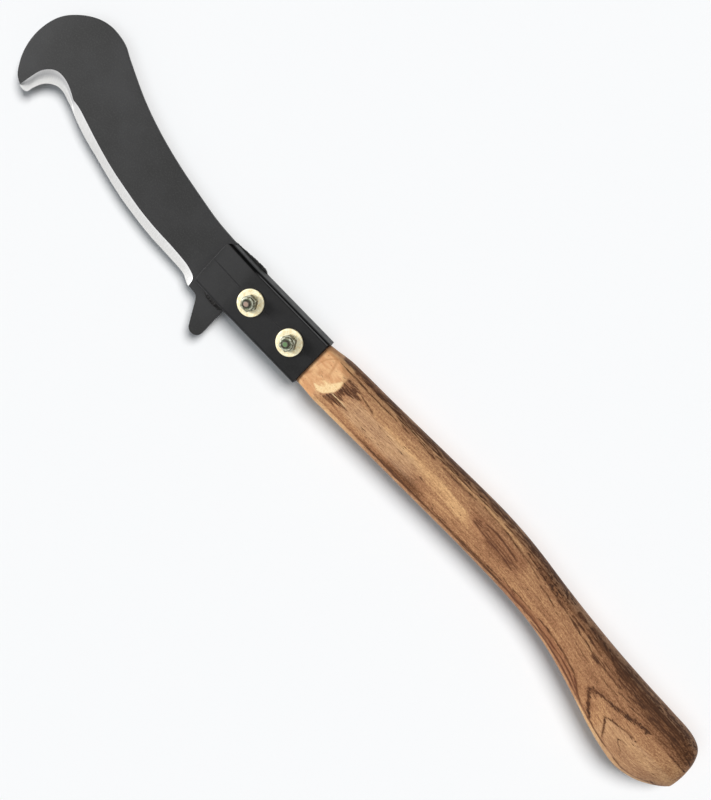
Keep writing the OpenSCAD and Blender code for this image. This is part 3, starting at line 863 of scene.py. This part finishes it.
def handle_form():
    """Rings of points from the mouth to the butt: their distance, offset and height, the offset of
    the spine side's rim and of the middle, and half the width."""
    sides = 224
    d = np.concatenate([[0.3], np.arange(1, 352, 0.8), np.arange(352, 384, 0.6),
                        np.arange(384, HANDLE_LEN - 0.2, 0.35), [HANDLE_LEN]])
    D, A = np.meshgrid(d, 2 * np.pi * np.arange(sides) / sides, indexing="ij")
    lo, hi = table(SPINE_SIDE, D), table(BELLY_SIDE, D)
    mid, half = (lo + hi) / 2, (hi - lo) / 2
    # The cross-section goes from nearly square at the mouth to an oval
    blend = np.minimum(1, D / 30)
    power = SQUARE_POWER + (OVAL_POWER - SQUARE_POWER) * blend * (2 - blend)
    c, s = np.cos(A), np.sin(A)
    Y = mid + half * np.sign(c) * np.abs(c) ** (2 / power)
    raw = table(HALF_THICK, D) * np.sign(s) * np.abs(s) ** (2 / power)
    # The sloping flats run out into the round grip over a short blend
    flat = FLAT_FROM + D * math.tan(math.radians(FLAT_SLOPE))
    mag = np.abs(raw)
    h = np.clip(0.5 + 0.5 * (flat - mag) / FLAT_BLEND, 0, 1)
    limited = mag * h + flat * (1 - h) - FLAT_BLEND * h * (1 - h) * 0.5
    depth = np.minimum(limited, mag)
    # Both edges are rounded off where the handle goes into the socket
    over = np.clip((np.abs(Y - mid) - half + MOUTH_EDGE_R) / MOUTH_EDGE_R, 0, 1)
    rounded = np.minimum(depth, flat * np.sqrt(1 - over ** 2))
    near_mouth = 1 - smooth(6, 26, D)
    Z = np.sign(raw) * (depth + (rounded - depth) * near_mouth)
    return D, Y, Z, lo, mid, half


def grain_place(D, Y, Z, mid):
    """Places in the wood's own directions: growth layers lie across the handle and twist slowly."""
    twist = np.radians(table(GRAIN_TWIST, D))
    wave = 1.2 * (noise2(D / 60 + 0.3, 4.2, 21) - 0.5)
    layer = Z * np.cos(twist) + (Y - mid + wave) * np.sin(twist)
    cross = -Z * np.sin(twist) + (Y - mid) * np.cos(twist)
    return np.stack([D, cross, layer], -1).reshape(-1, 3)


def wood_fields(D, Y, Z, lo, mid, half):
    """What the wood's material needs to know at each point, by name."""
    top = smooth(-4, 0, Z)
    across = (Y - mid) / half
    rim = Y - lo
    line = top * stroke_field(D, Y, STROKES, 31) + (1 - top) * stroke_field(D, Y, BACK_STROKES, 33)

    # Comb of dark pores below the shaving, with one pale sliver in it
    ragged = 1.6 * (noise2(D / 3, Y * 1.6, 63) - 0.5)
    shave_to = np.interp(Y, *np.transpose(SHAVE_TO))
    pores_to = np.interp(Y, *np.transpose(PORES_TO)) + ragged
    comb = smooth(0, 1.2, D - np.maximum(shave_to, 25 - 0.4 * np.maximum(Y, 0)))
    comb *= smooth(1.5, -1.5, D - pores_to) * span(Y, -14.2, -13.2, 8.6, 9.6) * top
    comb *= 0.72 + 0.28 * smooth(0.35, 0.55, noise2(D / 16, Y * 1.1, 61))
    sliver = np.exp(-((Y - 2.1) / 0.45) ** 2) * span(D, 24, 27, 36, 42) * top
    dark = np.maximum(0.8 * line, comb) * (1 - sliver)

    # Loose short pores near the spine side's rim, bands of them on the knob, and the dark rim
    loose = span(D, 195, 225, 245, 262) * smooth(11, 6, rim)
    loose += 0.7 * smooth(250, 262, D) * smooth(7, 4, rim)
    loose = top * np.clip(loose, 0, 1)
    bands = top * stroke_field(D, Y, PORE_BANDS, 37)
    dark = np.maximum(dark, np.maximum(0.55 * loose, bands))
    short = np.maximum(bands, 0.8 * loose)
    edge_band = smooth(-0.8, -0.92, across) * span(D, 12, 30, 245, 268)
    dark = np.maximum(dark, 0.12 * top)
    dark = np.maximum(dark, 0.85 * edge_band * (0.6 + 0.4 * noise2(D / 13, 0, 67)))

    # The sloping flat, and the fresh wood of the shaving at its end
    shaved = top * smooth(2.5, -2.5, D - np.maximum(shave_to, 17)) * smooth(-1, 2, rim)
    fresh = top * smooth(-0.7, 0.7, D - np.interp(Y, *np.transpose(SHAVE_FROM)) - 0.5 * ragged)
    fresh *= smooth(0.6, -0.4, D - shave_to) * span(Y, -9.6, -8.8, 9.2, 10.2)
    fresh = np.maximum(fresh, sliver)

    # Zones of the grip: pale and honey on the two sides of a line, grey, dark near the cutting
    # side, a dark tongue, and reddish before the knob
    divide = np.interp(D, [60, 130, 150, 165, 178], [-10, -10.6, -8.2, -6.2, -2.5])
    low = np.interp(D, [60, 90, 130, 160, 178], [-8, -4, -1.5, 0.5, -2])
    pale = smooth(-0.4, 0.5, Y - divide) * smooth(1.5, -2, Y - low) * span(D, 58, 90, 172, 180)
    honey = smooth(-16.5, -15, Y) * smooth(0.5, -0.5, Y - divide) * span(D, 22, 40, 140, 165)
    grey = span(D, 30, 48, 95, 120) * span(Y, -9, -6, 5, 9) * top
    # The greyer strip along the spine side's rim is a painted sheen
    grey += 0.7 * smooth(0, -0.8, across) * smooth(30, 90, D) * smooth(5, 2, rim)
    belly_band = smooth(7.5, 9, Y) * span(D, 55, 75, 240, 260) * top
    dark = np.maximum(dark, np.maximum(0.2 * np.clip(grey, 0, 1), 0.4 * belly_band))
    tongue = span(D, 150, 165, 203, 214) * span(Y, -15, -12.5, -3, -0.5)
    reddish = span(D, 200, 215, 295, 312) * smooth(
        -1, 1.5, Y - np.interp(D, [200, 250, 273, 292, 306], [7.5, 9.6, 14, 20.5, 31]))

    # Zones of the knob: a dark one on the spine side, and inside the first and the second arc
    shade = smooth(14, 2, Y - np.interp(D, [280, 320, 350, 391], [-13, -6, -3, -1]))
    shade *= smooth(285, 315, D) * top
    dark = np.maximum(dark, 0.6 * shade)
    inside = smooth(-0.6, 0.8, Y - np.interp(D, [302, 306, 327, 353, 391],
                                             [18, 14.8, 11.6, 7.6, 11.8])) * smooth(300, 306, D)
    inner = smooth(-0.6, 0.8, Y - np.interp(D, [323, 327, 341, 362, 391],
                                            [24, 21.4, 19, 18.6, 21.6])) * smooth(322, 328, D)

    # How dark the ground colour is
    tone = 0.5 + 0.04 * smooth(40, 180, D) + 0.04 * smooth(200, 290, D)
    tone -= (0.02 * honey + 0.16 * pale) * top + 0.05 * np.clip(grey, 0, 1)
    tone -= 0.07 * inside + 0.07 * inner
    tone += 0.17 * comb + 0.13 * tongue + 0.06 * reddish + 0.13 * shade + 0.04 * edge_band
    tone += 0.12 * smooth(8, 12, Y) * span(D, 40, 80, 200, 250)
    tone += 0.1 * span(D, 190, 230, 250, 262) * smooth(9, 4, rim)
    tone += 0.1 * span(D, 248, 266, 300, 330) * smooth(8.5, 3.5, rim)
    tone += 0.13 * smooth(26, 32, Y) * smooth(325, 345, D)
    for amount, place, size in DARK_SPOTS:
        tone += amount * np.exp(-((D - place[0]) / size[0]) ** 2 - ((Y - place[1]) / size[1]) ** 2)
    light_line = np.interp(D, [60, 95, 160, 200], [-18.9, -19.7, -20.2, -18])
    tone -= 0.14 * np.exp(-((Y - light_line) / 0.7) ** 2) * span(D, 55, 80, 195, 205)
    # The rim on the cutting side is painted paler, a painted highlight where the edge catches the
    # light, with a darker line beside it
    belly_rim = Y - np.interp(D, *np.transpose(BELLY_RIM))
    tone -= 0.2 * smooth(-1.2, -0.4, belly_rim)
    tone += 0.2 * np.exp(-((belly_rim + 2.1) / 0.6) ** 2) * smooth(20, 60, D)
    tone += (1 - top) * (0.1 * noise2(D / 40, Y / 6, 71) + 0.04)
    tone += 0.12 * dark

    return {"dark": dark, "tone": tone, "grey": grey + 0.6 * inner * top,
            "reddish": np.maximum(reddish, 0.6 * top * tongue), "fresh": fresh, "shaved": shaved,
            # Painted shade on the wood just behind the socket's mouth
            "mouth_shade": smooth(3.2, 0.6, D + 0.9 * (noise2(3.1, Y / 2, 77) - 0.5)),
            "long": np.maximum(shade, 0.4 * top * tongue), "line": line, "short": 1.3 * short,
            "contour": top * stroke_field(D, Y, FLAT_LINES, 35)}


def handle_piece(material):
    D, Y, Z, lo, mid, half = handle_form()
    rows, sides = D.shape
    verts = np.stack([-D, Y, HANDLE_Z + Z], -1).reshape(-1, 3)
    n = len(verts)
    base = n - sides
    # A point in the middle closes each end
    ends = [verts[:sides].mean(0), verts[-sides:].mean(0)]
    faces = grid_faces(rows, sides)
    faces += [(n, (j + 1) % sides, j) for j in range(sides)]
    faces += [(n + 1, base + j, base + (j + 1) % sides) for j in range(sides)]
    piece = build("handle_wood", np.vstack([verts, ends]), faces, "handle",
                  material, sharp=60)
    grain = grain_place(D, Y, Z, mid)
    attribute(piece, "grain", np.vstack([grain, grain[:sides].mean(0), grain[-sides:].mean(0)]))
    for name, values in wood_fields(D, Y, Z, lo, mid, half).items():
        at_ends = END_VALUES.get(name, (0, 0))
        attribute(piece, name, np.clip(np.concatenate([values.reshape(-1), at_ends]), 0, 1))


def wood_material():
    m = Mat("handle_wood")
    figure = m.grain(0.02, 0.22, 3, 0.55, 0.4)
    streaks = m.grain(0.03, 0.55, 4, 0.65, 0.2)
    fibre = m.grain(0.11, 1.3, 4, 0.7)
    speckle = m.grain(0.7, 1.1, 3, 0.7)
    dash = m.grain(0.15, 1.15, 3, 0.6)
    lines = m.grain(0.02, 0.8, 3, 0.6)
    pores = m.grain(0.09, 1, 4, 0.7)
    dots = m.grain(0.35, 0.8, 2, 0.5)

    tone = m.attr("tone")
    for noise, swing in ((figure, 0.05), (streaks, 0.05), (fibre, 0.07), (speckle, 0.11)):
        tone = m.math("ADD", tone, m.range(noise, 0.3, 0.7, -swing, swing))
    base = m.ramp(tone, [(0, srgb(244, 208, 158)), (0.2, srgb(220, 178, 126)),
                         (0.4, srgb(190, 146, 102)), (0.6, srgb(152, 107, 74)),
                         (0.8, srgb(108, 70, 42)), (1, srgb(68, 40, 22))])
    base = m.mix(m.math("MULTIPLY", m.attr("grey"), 0.4), base,
                 m.mix(m.range(fibre, 0.3, 0.7), srgb(200, 166, 132), srgb(138, 106, 80)))
    base = m.mix(m.math("MULTIPLY", m.attr("reddish"), 0.35), base, srgb(156, 104, 72))
    base = m.mix(m.range(pores, 0.56, 0.7, 0, 0.35), base, srgb(104, 66, 42))
    cream = m.mix(m.range(figure, 0.38, 0.62), srgb(218, 176, 128), srgb(198, 144, 98))
    cream = m.mix(m.math("MULTIPLY", m.attr("contour"), 0.85), cream, srgb(168, 114, 70))
    cream = m.mix(m.range(speckle, 0.35, 0.7, 0, 0.35), cream, srgb(190, 138, 92))
    base = m.mix(m.math("MULTIPLY", m.attr("shaved"), 0.8), base, cream)
    base = m.mix(m.attr("fresh"), base,
                 m.mix(m.range(speckle, 0.4, 0.7), srgb(224, 198, 152), srgb(210, 172, 122)))
    line = m.math("MULTIPLY", m.attr("line"), m.range(dash, 0.32, 0.55, 0.45, 1))
    line = m.range(line, 0.2, 0.78, 0, 0.85)
    stain = m.mix(m.attr("reddish"), srgb(88, 52, 28), srgb(80, 44, 26))
    base = m.mix(line, base, m.mix(m.attr("long"), stain, srgb(70, 40, 22)))
    texture = m.math("MULTIPLY_ADD", m.attr("long"), m.math("SUBTRACT", lines, dash), dash)
    texture = m.math("MULTIPLY_ADD", m.attr("short"), m.math("SUBTRACT", dots, dash), texture)
    density = m.math("MULTIPLY_ADD", m.attr("dark"), 0.27, texture)
    mark = m.range(density, 0.68, 0.74)
    pore = m.mix(m.range(streaks, 0.3, 0.7), srgb(90, 54, 29), srgb(60, 35, 18))
    base = m.mix(mark, base, m.mix(m.attr("reddish"), pore, srgb(100, 58, 38)))
    # Painted shade at the socket's mouth, darkening the wood beside the sheet
    base = m.mix(m.math("MULTIPLY", m.attr("mouth_shade"), 0.75), base, srgb(74, 46, 28))
    m.set(Base_Color=base, Roughness=m.range(fibre, 0.3, 0.7, 0.55, 0.7),
          Specular_IOR_Level=0.25)
    height = m.math("MULTIPLY_ADD", fibre, 0.5, m.math("MULTIPLY", mark, -0.5))
    m.bump(height, 0.4, 0.0002)
    return m.m


handle_piece(wood_material())


# Floor, light and camera

FLOOR_HALF = 6.0


def stage_floor():
    mesh = bpy.data.meshes.new("floor")
    h = FLOOR_HALF
    mesh.from_pydata([(-h, -h, 0), (h, -h, 0), (h, h, 0), (-h, h, 0)], [], [(0, 1, 2, 3)])
    obj = bpy.data.objects.new("floor", mesh)
    bpy.context.scene.collection.objects.link(obj)
    m = Mat("floor_white")
    m.set(Base_Color=(0.95, 0.95, 0.95, 1.0), Roughness=0.9, Specular_IOR_Level=0.1)
    mesh.materials.append(m.m)
    return obj


floor = stage_floor()


def linking(name, state):
    """Group that makes a light fall on the floor alone, or on everything but the floor."""
    group = bpy.data.collections.new(name)
    group.objects.link(floor)
    group.collection_objects[0].light_linking.link_state = state
    return group


def lamp(kind, name, place, target, power, falls_on):
    data = bpy.data.lights.new(name, kind)
    data.energy = power
    obj = bpy.data.objects.new(name, data)
    bpy.context.scene.collection.objects.link(obj)
    obj.location = place
    aim = Vector(target) - Vector(place)
    obj.rotation_euler = aim.to_track_quat("-Z", "Y").to_euler()
    obj.light_linking.receiver_collection = falls_on
    return data


floor_only = linking("floor_only", "INCLUDE")
tool_only = linking("tool_only", "EXCLUDE")


def area_light(name, place, target, size, power):
    """Soft light on the tool; places in metres, power in watts."""
    data = lamp("AREA", name, place, target, power, tool_only)
    data.size = size
    return data


def sun(name, place, spread, power):
    """Even light on the floor from one side; its spread, in degrees, softens the shadow."""
    data = lamp("SUN", name, place, (0, 0, 0), power, floor_only)
    data.angle = math.radians(spread)
    return data


sun("floor_key", (-0.3, -2.3, 3.2), spread=27, power=3.0)
floor_fill = sun("floor_fill", (0.2, 0.2, 4), spread=45, power=0.48)
floor_fill.color = (0.85, 0.93, 1.0)
area_light("overhead", (0.85, 0.45, 1.5), (0.15, 0, 0), size=1.0, power=4.5)
area_light("key", (2.4, 1.1, 1.6), (0, 0, 0), size=0.9, power=90.0)
spine_fill = area_light("spine_fill", (0, -1.1, 1.6), (0, 0, 0), size=1.0, power=14.0)
spine_fill.specular_factor = 0.0
area_light("fill", (-1.2, 0.9, 1.6), (0, 0, 0), size=1.0, power=14.0)

world = bpy.data.worlds.new("studio")
world.use_nodes = True
backdrop = world.node_tree.nodes["Background"]
backdrop.inputs["Color"].default_value = (1.0, 1.0, 1.0, 1.0)
backdrop.inputs["Strength"].default_value = 0.1
bpy.context.scene.world = world
bpy.context.scene.view_settings.view_transform = "Standard"
bpy.context.scene.view_settings.look = "None"

# Camera: looks nearly straight down, with the tool's X axis going up and left in the picture
LOOK_AT = (-1.45, 4.925, 12.75)
CAMERA_OFFSET = (-52.68, -282.55, 957.8)
AXIS_RIGHT = -0.697
AXIS_UP = 0.71707
SENSOR = 36.0
LENS = 62.37
centre = Vector(LOOK_AT) * MM
camera_at = centre + Vector(CAMERA_OFFSET) * MM
forward = (centre - camera_at).normalized()
x_axis = Vector((1, 0, 0))
x_seen = (x_axis - forward * x_axis.dot(forward)).normalized()
y_seen = (-forward).cross(x_seen)
right = x_seen * AXIS_RIGHT - y_seen * AXIS_UP
up = x_seen * AXIS_UP + y_seen * AXIS_RIGHT
camera_data = bpy.data.cameras.new("camera")
camera_data.sensor_width = SENSOR
camera_data.lens = LENS
camera = bpy.data.objects.new("camera", camera_data)
bpy.context.scene.collection.objects.link(camera)
turn = Matrix((right, up, -forward)).transposed().to_4x4()
camera.matrix_world = Matrix.Translation(camera_at) @ turn
bpy.context.scene.camera = camera
